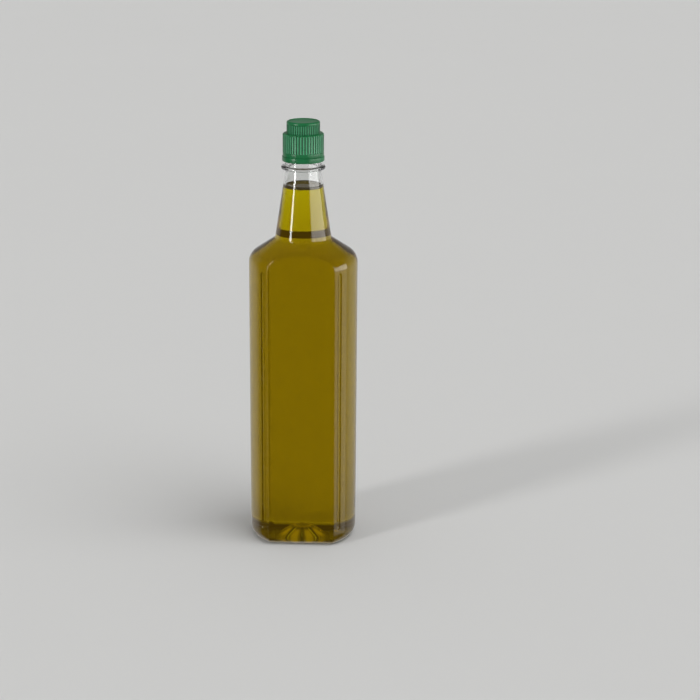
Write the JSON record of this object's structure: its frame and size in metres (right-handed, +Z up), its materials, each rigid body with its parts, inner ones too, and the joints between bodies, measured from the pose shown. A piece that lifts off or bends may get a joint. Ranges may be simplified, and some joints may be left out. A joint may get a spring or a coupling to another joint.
{
  "type": "bottle of olive oil",
  "caption": "Clear round bottle with flat front and back panels and a conical neck, filled with green-gold oil, shut with a ribbed green two-stage closure.",
  "frame": {"origin": "on the ground, under the middle of the bottle's base", "axes": "+Z up along the bottle, +X to its right and -Y out of its front panel"},
  "size_m": [0.08, 0.0632, 0.317],
  "materials": {
    "clear_plastic": "clear blown plastic, glossy",
    "oil": "clear green-gold oil",
    "green_plastic": "moulded green plastic, semi-gloss"
  },
  "bodies": {
    "root": {"bottle": "clear_plastic", "oil": "oil", "tamper_band": "green_plastic", "cap_collar": "green_plastic", "top_cap": "green_plastic"}
  },
  "joints": []
}
